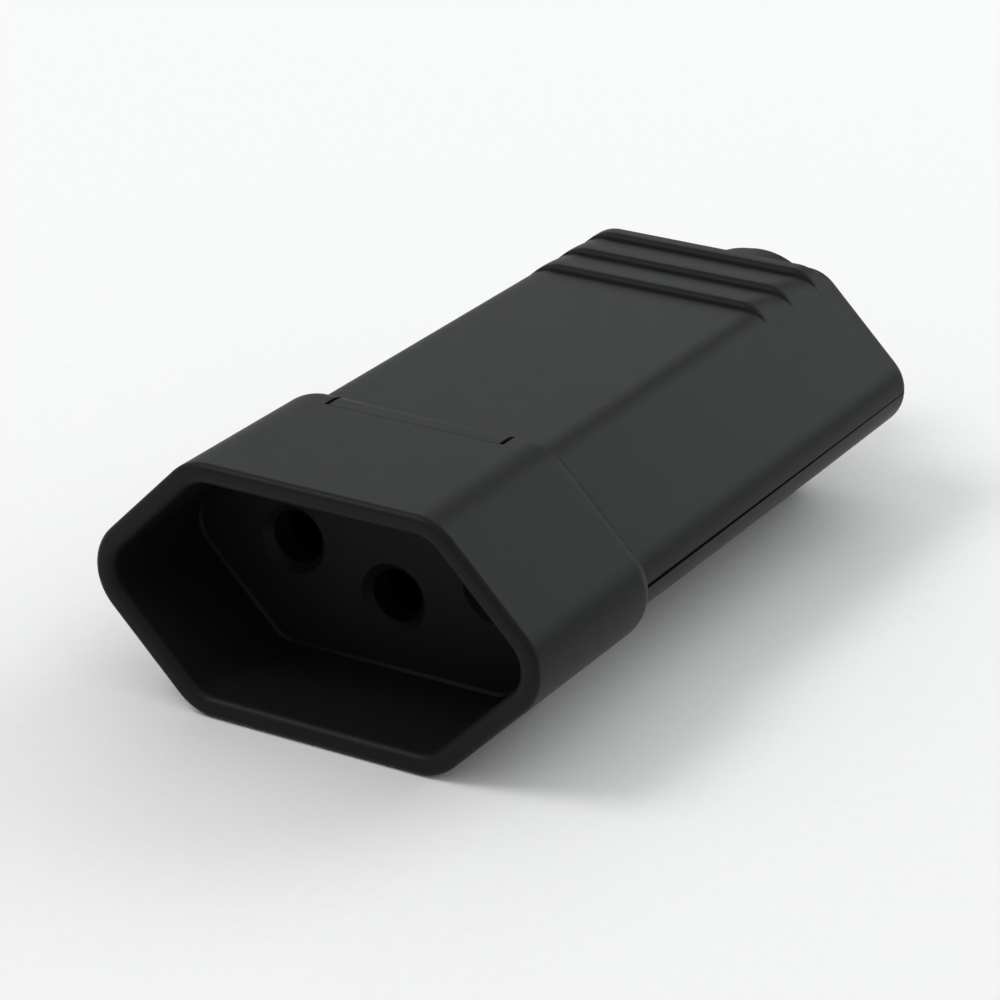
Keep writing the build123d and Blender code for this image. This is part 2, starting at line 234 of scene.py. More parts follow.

# %% [markdown]
# ## Metal finishes
#
# The contact sleeves are turned brass, the clips around them are rolled spring steel, and the screws
# and nuts are zinc plated. Bare metal has no colour of its own below the shine, so each is a full
# metal with its own tint. Turning and rolling leave fine lines, which are noise stretched in one
# direction. A ring of lines could follow each sleeve's axis, but at this size stretched noise looks
# the same and takes one node. The brass is painted darker towards the mouth over its first few
# millimetres, a painted shade that stands for the dark inside of the pin holes.

# %% Metal materials
def make_metal(name, colour, roughness, line_size, stretch, painted_shade_until=None):
    """Metal with fine lines of tooling, drawn out by a stretch along each axis, and perhaps painted shade
    at the front.
    """
    material, tree, shader = new_material(name)
    place = put(tree, "ShaderNodeTexCoord").outputs["Object"]
    drawn = put(tree, "ShaderNodeMapping", {"Vector": place, "Scale": stretch}).outputs[0]
    lines = noise(tree, drawn, 1 / line_size, 2.0)
    stain = noise(tree, place, 700.0, 4.0)
    darker = tuple(0.78 * c for c in colour)
    shown = blend(tree, stain, (*colour, 1.0), (*darker, 1.0))
    if painted_shade_until is not None:
        along = parts_of(tree, place)[1]
        # painted shade: the brass fades to near black towards the mouth, where the pin holes are dark
        painted_shade = put(tree, "ShaderNodeMapRange", {
            "Value": calculate(tree, "MULTIPLY_ADD", stain, 1.5 * mm, along),
            "From Min": painted_shade_until - 2 * mm,
            "From Max": painted_shade_until,
            "To Min": 1.0,
            "To Max": 0.0,
        }, interpolation_type="SMOOTHSTEP").outputs[0]
        # near-black colour of the painted shade at the front of the brass
        shown = blend(tree, painted_shade, shown, (0.025, 0.02, 0.015, 1.0))
    relief = put(tree, "ShaderNodeBump", {"Strength": 0.2, "Distance": line_size / 6, "Height": lines})
    feed(tree, shader, {
        "Base Color": shown,
        "Roughness": calculate(tree, "MULTIPLY_ADD", lines, 0.18, roughness - 0.09),
        "Normal": relief.outputs[0],
        "Metallic": 1.0,
    })
    return material


# the painted shade on the brass fades out here, 8 mm behind the contacts' front end
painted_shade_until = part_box("line_contact")[0].y + 8 * mm
for name, *look in (
    ("contact_brass", (0.62, 0.46, 0.21), 0.34, 0.12 * mm, (0.2, 1, 0.2), painted_shade_until),
    ("spring_steel", (0.5, 0.5, 0.52), 0.35, 0.1 * mm, (1, 0.15, 1)),
    ("zinc_plated_steel", (0.64, 0.66, 0.69), 0.28, 0.15 * mm, (1, 1, 0.3)),
):
    materials[name] = make_metal(name, *look)
slot_of = {row["node"]: row["material_slot"] for row in frame["record"]["subparts"]}
for name, node in frame["nodes"].items():
    node.data.materials.clear()
    node.data.materials.append(materials[slot_of[name]])
print("materials:", sorted(materials))

# %% [markdown]
# ## From loose triangles to smooth mouldings
#
# A solid arrives as loose triangles with flat faces, and on a dark shiny piece each facet of a rounding
# shows as a stripe. A copy whose points are merged can be shaded smooth. Plain smoothing would bend
# the light on the large flat faces too, so normals are weighted by the size of the faces, and edges
# past a set angle stay sharp.

# %% Mesh helpers
weld_distance = 0.0005 * mm


def new_object(name, data):
    """Put a mesh, a lamp or a camera into the scene."""
    made = bpy.data.objects.new(name, data)
    bpy.context.scene.collection.objects.link(made)
    return made


def keep_modifiers(piece):
    """Turn what the modifiers make into the piece's own mesh."""
    bpy.context.view_layer.update()
    seen = piece.evaluated_get(bpy.context.evaluated_depsgraph_get())
    mesh = bpy.data.meshes.new_from_object(seen)
    piece.modifiers.clear()
    piece.data = mesh


def mean_width(face):
    """How wide a face is across its longest reach."""
    corners = [corner.co for corner in face.verts]
    reach = max((a - b).length for a in corners for b in corners)
    return face.calc_area() / reach


def shade(piece, sharp_angle=32, flat_width=1.6 * mm):
    """Smooth light over roundings, with flat faces kept flat and a crease wherever two of them meet."""
    shape = bmesh.new()
    shape.from_mesh(piece.data)
    wide = {face for face in shape.faces if mean_width(face) > flat_width}
    for face in shape.faces:
        face.smooth = True
    for edge in shape.edges:
        bend = edge.calc_face_angle(0.0)
        flats = [face for face in edge.link_faces if face in wide]
        crease = len(flats) == 2 and bend > math.radians(1)
        edge.smooth = bend < math.radians(sharp_angle) and not crease
    shape.to_mesh(piece.data)
    shape.free()
    weighted = piece.modifiers.new("weighted", "WEIGHTED_NORMAL")
    weighted.keep_sharp = True
    keep_modifiers(piece)


def merged_copy(name, node):
    """Copy of a solid with its points merged and its flat faces whole again."""
    mesh = frame["nodes"][node].data.copy()
    mesh.name = name
    shape = bmesh.new()
    shape.from_mesh(mesh)
    bmesh.ops.remove_doubles(shape, verts=shape.verts, dist=weld_distance)
    bmesh.ops.dissolve_limit(
        shape, angle_limit=math.radians(0.2), verts=shape.verts, edges=shape.edges, delimit={"NORMAL"}
    )
    shape.to_mesh(mesh)
    shape.free()
    return new_object(name, mesh)


def hand_over(piece, slot, *nodes):
    """Fix a piece to the body and hide the solids that it stands for. The slot is not used."""
    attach(piece, "root")
    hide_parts(*nodes)
    print(piece.name, "faces:", len(piece.data.polygons))


# %% [markdown]
# ## Pieces that keep their shape
#
# The socket face with its sunk holes, the pieces that hold the contacts and the cable, the brass
# contacts and the nuts are shown with the very shape of their solids. Each is a smoothly shaded copy,
# and the solid that it stands for is hidden, so that the two don't show in one place.

# %% Moulded pieces
copies = ["contact_block", "contact_retainer", "cord_clamp"]
copies += [name for name in frame["nodes"] if name.endswith("_contact")]
copies += [name for name in frame["nodes"] if name.startswith("cover_nut")]
for node in copies:
    body = merged_copy(node + "_body", node)
    shade(body)
    hand_over(body, slot_of[node], node)

# %% [markdown]
# ## Geometry Nodes that make a piece
#
# The next pieces follow a rule, so each is made by a tree of Geometry Nodes with its sizes as named
# inputs. The tree runs on an object whose mesh is only a few marked points. What it makes is then
# kept as a plain mesh, because instances and live modifiers would be lost on the way out.

# %% Run a tree on marked points
def new_geometry_tree(name, sockets):
    """Empty tree with a geometry and the named sizes going in, and a geometry coming out."""
    tree = bpy.data.node_groups.new(name, "GeometryNodeTree")
    declare(tree, "INPUT", [("Geometry", "Geometry", None), *sockets, ("Material", "Material", None)])
    declare(tree, "OUTPUT", [("Geometry", "Geometry", None)])
    return tree, tree.nodes.new("NodeGroupInput").outputs


def middle_box(tree, x, y, z):
    """Box of the given sizes about the origin."""
    return put(tree, "GeometryNodeMeshCube", {"Size": vector(tree, x, y, z)}).outputs[0]


def move(tree, geometry, offset=(0.0, 0.0, 0.0), turn=(0.0, 0.0, 0.0)):
    """A piece turned about the origin and then moved."""
    inputs = {"Geometry": geometry, "Translation": offset, "Rotation": turn}
    return put(tree, "GeometryNodeTransform", inputs).outputs[0]


def cut_out(tree, solid, hole):
    """What is left of a solid when a shape is cut out of it."""
    inputs = {"Mesh 1": solid, "Mesh 2": hole}
    return put(tree, "GeometryNodeMeshBoolean", inputs, operation="DIFFERENCE", solver="EXACT").outputs[0]


def finish_tree(tree, given, piece, turn=(0.0, 0.0, 0.0)):
    """Set a piece on each marked point, and end in real geometry with its material."""
    inputs = {"Points": given["Geometry"], "Instance": piece, "Rotation": turn}
    placed = put(tree, "GeometryNodeInstanceOnPoints", inputs).outputs[0]
    real = put(tree, "GeometryNodeRealizeInstances", {"Geometry": placed}).outputs[0]
    painted = put(tree, "GeometryNodeSetMaterial", {"Geometry": real, "Material": given["Material"]})
    put(tree, "NodeGroupOutput", {"Geometry": painted.outputs[0]})
    return tree


def grow(name, tree, slot, sizes, points):
    """Run a tree on marked points, and keep what it makes as a plain mesh."""
    mesh = bpy.data.meshes.new(name)
    mesh.from_pydata([Vector(point) for point in points], [], [])
    piece = new_object(name, mesh)
    modifier = piece.modifiers.new(tree.name, "NODES")
    modifier.node_group = tree
    sockets = {s.name: s.identifier for s in tree.interface.items_tree if s.in_out == "INPUT"}
    for label, value in {**sizes, "Material": materials[slot]}.items():
        modifier[sockets[label]] = value
    keep_modifiers(piece)
    return piece


def recalculate_normals(piece):
    """Merge doubled points and turn all faces outwards."""
    shape = bmesh.new()
    shape.from_mesh(piece.data)
    bmesh.ops.remove_doubles(shape, verts=shape.verts, dist=weld_distance)
    bmesh.ops.recalc_face_normals(shape, faces=shape.faces)
    open_edges = sum(not edge.is_manifold for edge in shape.edges)
    print(piece.name, "open edges:", open_edges, "volume in mm3:", round(shape.calc_volume() / mm**3, 1))
    shape.to_mesh(piece.data)
    shape.free()


# %% [markdown]
# ## The shroud
#
# The shroud is a sleeve with the same wall section all the way round a six-sided outline. That is the
# rule that a sweep follows: the outline is the path, and the wall section is the profile. The section
# holds the rounded rim, the mouth, the small sloped bead that the socket face seats on, the thin skirt
# that slips over the covers, and the large rounding at the rear. Its rear corner stands where the
# tangents of that rounding meet, so that a rounded corner there gives the true arc. Two notches for
# the locking tongues are cut last.

# %% Tree of the shroud
def corner_outline(tree, given):
    """Six corners of the outline from a circle of six points: two at the sides, four on the flats."""
    circle = put(tree, "GeometryNodeCurvePrimitiveCircle", {"Resolution": 6, "Radius": 1.0})
    spot = parts_of(tree, put(tree, "GeometryNodeInputPosition").outputs[0])
    on_flat = calculate(tree, "GREATER_THAN", calculate(tree, "ABSOLUTE", spot[1]), 0.5)
    flat = calculate(tree, "SUBTRACT", given["Half Side"], given["Half Height"])
    reach = choose(tree, on_flat, given["Half Side"], calculate(tree, "MULTIPLY", flat, 2.0))
    x = calculate(tree, "MULTIPLY", spot[0], reach)
    rise = calculate(tree, "DIVIDE", given["Half Height"], math.sin(math.radians(60)))
    y = calculate(tree, "MULTIPLY", spot[1], rise)
    inputs = {"Geometry": circle.outputs[0], "Position": vector(tree, x, y)}
    corners = put(tree, "GeometryNodeSetPosition", inputs)
    outline = put(tree, "GeometryNodeFilletCurve", {
        "Curve": corners.outputs[0],
        "Count": given["Corner Steps"],
        "Radius": given["Corner Radius"],
        "Limit Radius": True,
    }, mode="POLY")
    return put(tree, "GeometryNodeSetCurveNormal", {"Curve": outline.outputs[0]}, mode="Z_UP").outputs[0]


def switch_by_index(tree, values, data_type):
    """A field that takes one value for each point of a curve, in order."""
    index = put(tree, "GeometryNodeInputIndex").outputs[0]
    node = put(tree, "GeometryNodeIndexSwitch", data_type=data_type)
    while len(node.index_switch_items) < len(values):
        node.index_switch_items.new()
    feed(tree, node, dict(enumerate([index, *values])))
    return node.outputs[0]


def wall_section(tree, given):
    """Closed section of the wall as (inset, distance behind the rim), with a rounding at some corners."""
    bead_start = calculate(tree, "SUBTRACT", given["Recess Depth"], given["Seat Bead"])
    bead_inset = calculate(tree, "ADD", given["Rim Wall"], given["Seat Bead"])
    spots = [
        (0.0, 0.0, given["Rim Radius"]),
        (given["Rim Wall"], 0.0, given["Lip Radius"]),
        (given["Rim Wall"], bead_start, 0.0),
        (bead_inset, given["Recess Depth"], 0.0),
        (given["Skirt Wall"], given["Recess Depth"], 0.0),
        (given["Skirt Wall"], given["Back"], 0.0),
        (0.0, given["Rear Corner"], given["Rear Radius"]),
    ]
    places = []
    for inset, depth, _ in spots:
        flipped = {0: vector(tree, inset, depth), 1: (-1.0, -1.0, 0.0)}
        places.append(put(tree, "ShaderNodeVectorMath", flipped, operation="MULTIPLY").outputs[0])
    radii = [radius for _, _, radius in spots]
    steps = [0 if radius == 0.0 else 12 for radius in radii]
    circle = put(tree, "GeometryNodeCurvePrimitiveCircle", {"Resolution": len(spots), "Radius": 1.0})
    corners = put(tree, "GeometryNodeSetPosition", {
        "Geometry": circle.outputs[0],
        "Position": switch_by_index(tree, places, "VECTOR"),
    })
    return put(tree, "GeometryNodeFilletCurve", {
        "Curve": corners.outputs[0],
        "Count": switch_by_index(tree, steps, "INT"),
        "Radius": switch_by_index(tree, radii, "FLOAT"),
    }, mode="POLY").outputs[0]


def make_sleeve_tree():
    """Sweep the wall section round the outline, then cut the two notches."""
    sizes = ["Half Height", "Half Side", "Corner Radius", "Rim Wall", "Rim Radius", "Lip Radius"]
    sizes += ["Recess Depth", "Seat Bead", "Skirt Wall", "Back", "Rear Corner", "Rear Radius"]
    sizes += ["Notch Width", "Notch Front"]
    sockets = [(size, "Float", 0.0) for size in sizes] + [("Corner Steps", "Int", 12)]
    tree, given = new_geometry_tree("six_sided_sleeve", sockets)
    sleeve = put(tree, "GeometryNodeCurveToMesh", {
        "Curve": corner_outline(tree, given),
        "Profile Curve": wall_section(tree, given),
    }).outputs[0]
    inputs = {"Geometry": sleeve, "Distance": weld_distance}
    sleeve = put(tree, "GeometryNodeMergeByDistance", inputs).outputs[0]
    length = calculate(tree, "SUBTRACT", given["Back"], given["Notch Front"])
    notch_length = calculate(tree, "MULTIPLY", length, 2.0)
    tall = calculate(tree, "MULTIPLY", given["Half Height"], 4.0)
    notch = middle_box(tree, given["Notch Width"], tall, notch_length)
    notch = move(tree, notch, vector(tree, z=given["Back"]))
    laid = move(tree, cut_out(tree, sleeve, notch), turn=(math.radians(-90), 0.0, 0.0))
    return finish_tree(tree, given, laid)


sleeve_tree = make_sleeve_tree()
print("sleeve tree nodes:", len(sleeve_tree.nodes))

# %% Grow the shroud
shroud_low, shroud_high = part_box("shroud")
half_height = (shroud_high.z - shroud_low.z) / 2
shroud_place = (0.0, shroud_low.y, half_height)
corner_radius = 4.7 * mm
half_side = shroud_high.x + corner_radius * (math.sqrt(2) - 1)
rear_radius = 2.4 * mm
skirt_wall = 1.0 * mm
arc_end = math.acos((rear_radius - skirt_wall) / rear_radius)
shroud_back = shroud_high.y - shroud_low.y
rounding_start = shroud_back - rear_radius * math.sin(arc_end)
rear_corner = rounding_start + rear_radius * math.tan(arc_end / 2)
tongue_width = 15.9 * mm
tongue_gap = 0.4 * mm
notch_front = 15.35 * mm
shroud = grow(
    "shroud_sleeve",
    sleeve_tree,
    "housing_plastic",
    {
        "Half Height": half_height,
        "Half Side": half_side,
        "Corner Radius": corner_radius,
        "Corner Steps": 14,
        "Rim Wall": 1.8 * mm,
        "Rim Radius": 0.6 * mm,
        "Lip Radius": 0.8 * mm,
        "Recess Depth": 12.2 * mm,
        "Seat Bead": 0.25 * mm,
        "Skirt Wall": skirt_wall,
        "Back": shroud_back,
        "Rear Corner": rear_corner,
        "Rear Radius": rear_radius,
        "Notch Width": tongue_width + 2 * tongue_gap,
        "Notch Front": notch_front,
    },
    [shroud_place],
)
recalculate_normals(shroud)
shade(shroud)
hand_over(shroud, "housing_plastic", "shroud")
print("shroud box in mm:", [round(v / mm, 2) for v in shroud.dimensions])

# %% [markdown]
# ## The covers
#
# The two covers are mirrored outside: each carries a tongue that locks into the shroud's notch and
# three ridges that give the fingers a hold. The ridges are one saw-tooth shape that is repeated, and on
# the real mould they are cut with a rounded tool, so their feet and crests are soft. The solid has them
# with a few plain faces. Here those faces are cut out and a fine skin is sewn in: a grid whose every
# point is lifted to the six-sided outline, raised by a curve that starts again at each ridge. Where the
# raised flat meets the slanted side, the ridge runs out by itself in a thin tail. The tongue's top is a
# second skin of the same kind. It has no ridges, and drops at the rear along the shroud's own rounding,
# so the two run on from each other with only the thin joint and the two slits between them.

# %% Tree of the skins
def ridge_profile(tree, phase):
    """Height of one ridge, from 0 to 1, against the share of the way to the next one."""
    foot = [(0.0125, 0.24), (0.0375, 0.6), (0.075, 0.83)]
    crest_and_slope = [(0.15, 1.0), (0.3, 0.95), (0.9, 0.1)]
    curve = put(tree, "ShaderNodeFloatCurve", {"Value": phase})
    points = curve.mapping.curves[0].points
    for place, height in foot + crest_and_slope:
        points.new(place, height)
    points[0].location = (0.0, 0.0)
    points[-1].location = (1.0, 0.0)
    curve.mapping.update()
    return curve.outputs[0]


def arc_drop(tree, radius, over):
    """How far an arc has dropped at a distance past its start."""
    squares = [calculate(tree, "POWER", length, 2.0) for length in (radius, over)]
    left = calculate(tree, "MAXIMUM", calculate(tree, "SUBTRACT", *squares), 0.0)
    return calculate(tree, "SUBTRACT", radius, calculate(tree, "SQRT", left))


def outline_height(tree, given, x, rise):
    """Height of the six-sided outline above the joint at a distance x from its middle."""
    flat = calculate(tree, "ADD", given["Half Height"], rise)
    radius = given["Corner Radius"]
    reach = calculate(tree, "MULTIPLY", radius, math.tan(math.radians(22.5)))
    corner = calculate(tree, "SUBTRACT", given["Half Side"], flat)
    arc_start = calculate(tree, "SUBTRACT", corner, reach)
    arc_end = calculate(tree, "MULTIPLY_ADD", reach, math.cos(math.radians(45)), corner)
    over = calculate(tree, "SUBTRACT", x, arc_start)
    arc = calculate(tree, "SUBTRACT", flat, arc_drop(tree, radius, over))
    slant = calculate(tree, "SUBTRACT", given["Half Side"], x)
    height = choose(tree, calculate(tree, "GREATER_THAN", over, 0.0), flat, arc)
    return choose(tree, calculate(tree, "GREATER_THAN", x, arc_end), height, slant)


def make_skin_tree():
    """Fine skin over one flat of the covers, with ridges across it or a rounding at its end."""
    sizes = ["Half Height", "Half Side", "Corner Radius", "Half Width", "Start", "End", "Turn"]
    sizes += ["Ridge Start", "Ridge Pitch", "Ridge Height", "Runout"]
    sizes += ["Rounding Start", "Rounding Radius"]
    sockets = [(size, "Float", 0.0) for size in sizes]
    sockets += [("Steps Across", "Int", 2), ("Steps Along", "Int", 2)]
    tree, given = new_geometry_tree("outer_skin", sockets)
    length = calculate(tree, "SUBTRACT", given["End"], given["Start"])
    grid = put(tree, "GeometryNodeMeshGrid", {
        "Size X": calculate(tree, "MULTIPLY", given["Half Width"], 2.0),
        "Size Y": length,
        "Vertices X": given["Steps Across"],
        "Vertices Y": given["Steps Along"],
    }).outputs[0]
    spot = parts_of(tree, put(tree, "GeometryNodeInputPosition").outputs[0])
    middle = calculate(tree, "MULTIPLY_ADD", length, 0.5, given["Start"])
    behind = calculate(tree, "ADD", spot[1], middle)
    past_start = calculate(tree, "SUBTRACT", behind, given["Ridge Start"])
    steps = calculate(tree, "DIVIDE", past_start, given["Ridge Pitch"])
    share = ridge_profile(tree, calculate(tree, "FRACT", steps))
    started = calculate(tree, "GREATER_THAN", steps, 0.0)
    rise = calculate(tree, "MULTIPLY", calculate(tree, "MULTIPLY", share, started), given["Ridge Height"])
    left = calculate(tree, "SUBTRACT", given["End"], behind)
    rise = calculate(tree, "MINIMUM", rise, calculate(tree, "MULTIPLY", left, given["Runout"]))
    past_rounding = calculate(tree, "SUBTRACT", behind, given["Rounding Start"])
    over = calculate(tree, "MAXIMUM", past_rounding, 0.0)
    rise = calculate(tree, "SUBTRACT", rise, arc_drop(tree, given["Rounding Radius"], over))
    height = outline_height(tree, given, calculate(tree, "ABSOLUTE", spot[0]), rise)
    inputs = {"Geometry": grid, "Position": vector(tree, spot[0], behind, height)}
    skin = put(tree, "GeometryNodeSetPosition", inputs).outputs[0]
    return finish_tree(tree, given, skin, vector(tree, y=given["Turn"]))


skin_tree = make_skin_tree()
print("skin tree nodes:", len(skin_tree.nodes))

# %% [markdown]
# ## Sewing a skin into a solid
#
# A skin could simply lie over the plain faces, but then two surfaces would share one place, and the
# finished mesh would have loose edges. So a window of the skin's own size is cut out of the solid first.
# The two rims then follow the same line with different points. Each edge of a rim is divided wherever
# the other rim has a point, and after that the points pair up and can be merged. The script counts the
# edges that are still open, and prints how many there are.

# %% Cut a window
def open_window(piece, half_width, start, end, side):
    """Cut the outer faces of the upper or lower side out of a solid, within a rectangle."""
    shape = bmesh.new()
    shape.from_mesh(piece.data)

    def outer_faces(low, high, reach):
        found = []
        for face in shape.faces:
            spot = face.calc_center_median()
            outside = face.normal.z * side > 0.3 and (spot.z - half_height) * side > half_height * 0.7
            if outside and low < spot.y - shroud_low.y < high and abs(spot.x) < reach:
                found.append(face)
        return found

    planes = [((x, 0, 0), (1, 0, 0)) for x in (-half_width, half_width)]
    planes += [((0, shroud_low.y + y, 0), (0, 1, 0)) for y in (start, end)]
    for point, direction in planes:
        faces = outer_faces(0.0, shroud_back * 5, half_side)
        edges = list(dict.fromkeys(edge for face in faces for edge in face.edges))
        points = list(dict.fromkeys(vert for face in faces for vert in face.verts))
        geometry = faces + edges + points
        bmesh.ops.bisect_plane(shape, geom=geometry, dist=weld_distance, plane_co=point, plane_no=direction)
    bmesh.ops.delete(shape, geom=outer_faces(start, end, half_width), context="FACES")
    shape.to_mesh(piece.data)
    shape.free()


# %% Join two rims
def split_at(shape, edge, spots):
    """Divide an edge at spots given as (share of the way, place), and move the new points there."""
    first = edge.verts[0]
    rest = 1.0
    for share, place in sorted(spots, key=lambda spot: -spot[0]):
        _, point = bmesh.utils.edge_split(edge, first, share / rest)
        point.co = place
        edge = next(candidate for candidate in point.link_edges if first in candidate.verts)
        rest = share


def sew(piece, skin, reach=0.03 * mm):
    """Bring a skin into a piece and join the two rims point by point."""
    shape = bmesh.new()
    for source in (piece, skin):
        shape.from_mesh(source.data)
    rim = [edge for edge in shape.edges if edge.is_boundary]
    places = [vert.co.copy() for vert in shape.verts if vert.is_boundary]
    near = reach / 2
    for edge in rim:
        a, b = (vert.co.copy() for vert in edge.verts)
        line = b - a
        spots = []
        for place in places:
            share = (place - a).dot(line) / line.length_squared
            away = (a + line * share - place).length
            if away < reach and near < share * line.length < line.length - near:
                spots.append((share, place))
        split_at(shape, edge, spots)
    rim_points = [vert for vert in shape.verts if vert.is_boundary]
    pair_distance = math.hypot(reach, near) * 1.05
    bmesh.ops.remove_doubles(shape, verts=rim_points, dist=pair_distance)
    open_edges = sum(not edge.is_manifold for edge in shape.edges)
    print(piece.name, "sewn, open edges left:", open_edges)
    shape.to_mesh(piece.data)
    shape.free()
    bpy.data.objects.remove(skin)


# %% [markdown]
# ## Ridges and tongues of both covers
#
# The skin's sizes are those of the moulding: the covers lie one step inside the shroud's outline, and
# the tongues lie in it. The rows of the ridged skin are spaced so that one falls on the start of every
# ridge, because a steep foot between two rows would come out slanted and show as a second line. The
# lower cover takes the same skins, turned half round.

# %% Dress the covers
cover_step = 1.1 * mm
never = 1.0  # in metres, far behind the part
ridge_start = 53.95 * mm
ridge_pitch = 4.85 * mm
row = ridge_pitch / 80
hair = row / 1000  # so that rounding can't put the row at a ridge's start before it
rows_before = 8
rows_behind = 199
ridged_skin = {
    "Half Height": half_height - cover_step,
    "Half Side": half_side - cover_step * math.sqrt(2),
    "Corner Radius": corner_radius - cover_step,
    "Half Width": 12.4 * mm,
    "Start": ridge_start - rows_before * row,
    "End": ridge_start + rows_behind * row,
    "Ridge Start": ridge_start - hair,
    "Ridge Pitch": ridge_pitch,
    "Ridge Height": 0.55 * mm,
    "Runout": 0.86,
    "Rounding Start": never,
    "Rounding Radius": never,
    "Steps Across": 120,
    "Steps Along": rows_before + rows_behind + 1,
}
tongue_skin = {
    "Half Height": half_height,
    "Half Side": half_side,
    "Corner Radius": corner_radius,
    "Half Width": tongue_width / 2,
    "Start": notch_front + 0.05 * mm,
    "End": shroud_back,
    "Ridge Start": never,
    "Ridge Pitch": never,
    "Rounding Start": rounding_start,
    "Rounding Radius": rear_radius,
    "Steps Across": 20,
    "Steps Along": 40,
}
for node, side, turn in (("upper_cover", 1, 0.0), ("lower_cover", -1, math.pi)):
    body = merged_copy(node + "_body", node)
    for label, sizes in (("ridges", ridged_skin), ("tongue", tongue_skin)):
        open_window(body, sizes["Half Width"], sizes["Start"], sizes["End"], side)
        turned = {**sizes, "Turn": turn}
        skin = grow(f"{node}_{label}", skin_tree, "housing_plastic", turned, [shroud_place])
        sew(body, skin)
    shade(body)
    hand_over(body, slot_of[node], node)

# %% [markdown]
# ## Screws with real threads
#
# The solids have plain shanks. A thread is a ridge that climbs round the shank, so it follows a path:
# a spiral, with a small triangle swept along it. One tree makes the head with its chamfer and slot,
# the shank and the thread, and sets a screw on each marked point. The cover screws, the clamp screws
# and the terminal screws are the same design in three sizes.

# %% Tree of the screws
def make_screw_tree():
    """Slotted screw, head up, with the underside of its head on each marked point."""
    sizes = ["Head Radius", "Head Height", "Head Chamfer", "Slot Width", "Slot Depth"]
    sizes += ["Shank Radius", "Shank Length", "Thread Pitch", "Thread Height"]
    sockets = [(size, "Float", 0.0) for size in sizes] + [("Upside Down", "Float", 0.0)]
    tree, given = new_geometry_tree("slotted_screw", sockets)

    def lift(geometry, height):
        return move(tree, geometry, vector(tree, z=height))

    side_height = calculate(tree, "SUBTRACT", given["Head Height"], given["Head Chamfer"])
    top_radius = calculate(tree, "SUBTRACT", given["Head Radius"], given["Head Chamfer"])
    head = put(tree, "GeometryNodeMeshCylinder", {
        "Vertices": 48, "Radius": given["Head Radius"], "Depth": side_height,
    }).outputs[0]
    head = lift(head, calculate(tree, "MULTIPLY", side_height, 0.5))
    crown = put(tree, "GeometryNodeMeshCone", {
        "Vertices": 48,
        "Radius Top": top_radius,
        "Radius Bottom": given["Head Radius"],
        "Depth": given["Head Chamfer"],
    }).outputs[0]
    crown = lift(crown, side_height)
    root_radius = calculate(tree, "SUBTRACT", given["Shank Radius"], given["Thread Height"])
    shank = put(tree, "GeometryNodeMeshCylinder", {
        "Vertices": 32, "Radius": root_radius, "Depth": given["Shank Length"],
    }).outputs[0]
    shank = lift(shank, calculate(tree, "MULTIPLY", given["Shank Length"], -0.5))
    solid = put(tree, "GeometryNodeMeshBoolean", operation="UNION", solver="EXACT")
    for part in (head, crown, shank):
        tree.links.new(part, solid.inputs["Mesh 2"])
    across = calculate(tree, "MULTIPLY", given["Head Radius"], 3.0)
    deep = calculate(tree, "MULTIPLY", given["Slot Depth"], 2.0)
    slot = lift(middle_box(tree, across, given["Slot Width"], deep), given["Head Height"])
    slotted = cut_out(tree, solid.outputs[0], slot)
    bare = calculate(tree, "MULTIPLY", given["Thread Pitch"], 2.0)
    climb = calculate(tree, "SUBTRACT", given["Shank Length"], bare)
    turns = calculate(tree, "DIVIDE", climb, given["Thread Pitch"])
    spiral = put(tree, "GeometryNodeCurveSpiral", {
        "Resolution": 24,
        "Rotations": turns,
        "Start Radius": root_radius,
        "End Radius": root_radius,
        "Height": climb,
    }).outputs[0]
    ridge = put(tree, "GeometryNodeCurvePrimitiveCircle", {
        "Resolution": 3, "Radius": given["Thread Height"],
    }).outputs[0]
    inputs = {"Curve": spiral, "Profile Curve": ridge, "Fill Caps": True}
    thread = put(tree, "GeometryNodeCurveToMesh", inputs).outputs[0]
    low = calculate(tree, "SUBTRACT", given["Thread Pitch"], given["Shank Length"])
    screw = put(tree, "GeometryNodeJoinGeometry")
    for part in (lift(thread, low), slotted):
        tree.links.new(part, screw.inputs[0])
    half_turn = calculate(tree, "MULTIPLY", given["Upside Down"], math.pi)
    return finish_tree(tree, given, screw.outputs[0], vector(tree, half_turn))


screw_tree = make_screw_tree()
print("screw tree nodes:", len(screw_tree.nodes))

# %% Set the screws
def grow_screws(name, nodes, head_height, head_radius, shank_radius, upside_down=False):
    """Threaded screws in the place of plain ones, measured on the solids that they stand for."""
    boxes = [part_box(node) for node in nodes]
    low, high = boxes[0]
    seat = low.z + head_height if upside_down else high.z - head_height
    points = [((a.x + b.x) / 2, (a.y + b.y) / 2, seat + a.z - low.z) for a, b in boxes]
    piece = grow(
        name,
        screw_tree,
        "zinc_plated_steel",
        {
            "Head Radius": head_radius,
            "Head Height": head_height,
            "Head Chamfer": 0.3 * mm,
            "Slot Width": 0.9 * mm,
            "Slot Depth": 1.0 * mm,
            "Shank Radius": shank_radius,
            "Shank Length": high.z - low.z - head_height,
            "Thread Pitch": 0.5 * mm,
            "Thread Height": 0.2 * mm,
            "Upside Down": float(upside_down),
        },
        points,
    )
    recalculate_normals(piece)
    shade(piece)
    hand_over(piece, "zinc_plated_steel", *nodes)


def nodes_like(word):
    """Names of the solids that hold a word, in order."""
    return sorted(name for name in frame["nodes"] if word in name)


